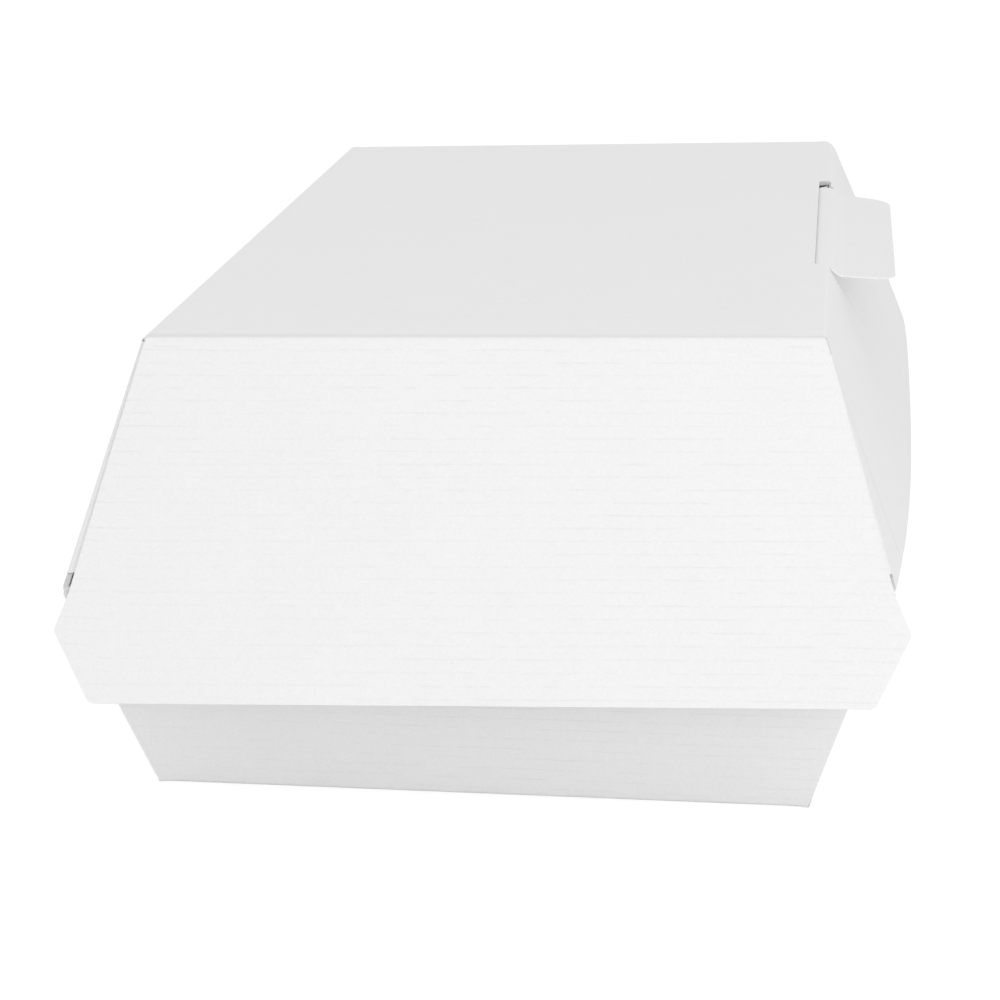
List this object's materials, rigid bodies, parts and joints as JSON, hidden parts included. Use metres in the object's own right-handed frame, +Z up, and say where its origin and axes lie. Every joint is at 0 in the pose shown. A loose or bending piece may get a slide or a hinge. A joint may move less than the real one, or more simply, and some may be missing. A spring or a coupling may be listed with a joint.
{
  "type": "cardboard lunch box",
  "caption": "Hinged lunch box folded from white corrugated board, with rolled side walls, a long front panel and a tongue through a slot.",
  "frame": {"origin": "middle of the tray's underside, on the surface that the box stands on", "axes": "+Z up, -Y towards the front panel, +Y towards the crease between tray and lid, +X to the side of the open tongue"},
  "size_m": [0.1692, 0.271, 0.091],
  "materials": {
    "tray_board": "matte",
    "lid_board": "matte"
  },
  "bodies": {
    "tray": {"base_tray": "tray_board"},
    "lid": {"lid": "lid_board"}
  },
  "joints": [
    {"name": "lid_crease", "type": "hinge", "parent": "tray", "child": "lid", "pos_m": [0, 0.131, 0.04515], "axis": [-1, 0, 0], "range_deg": [0, 180]}
  ]
}
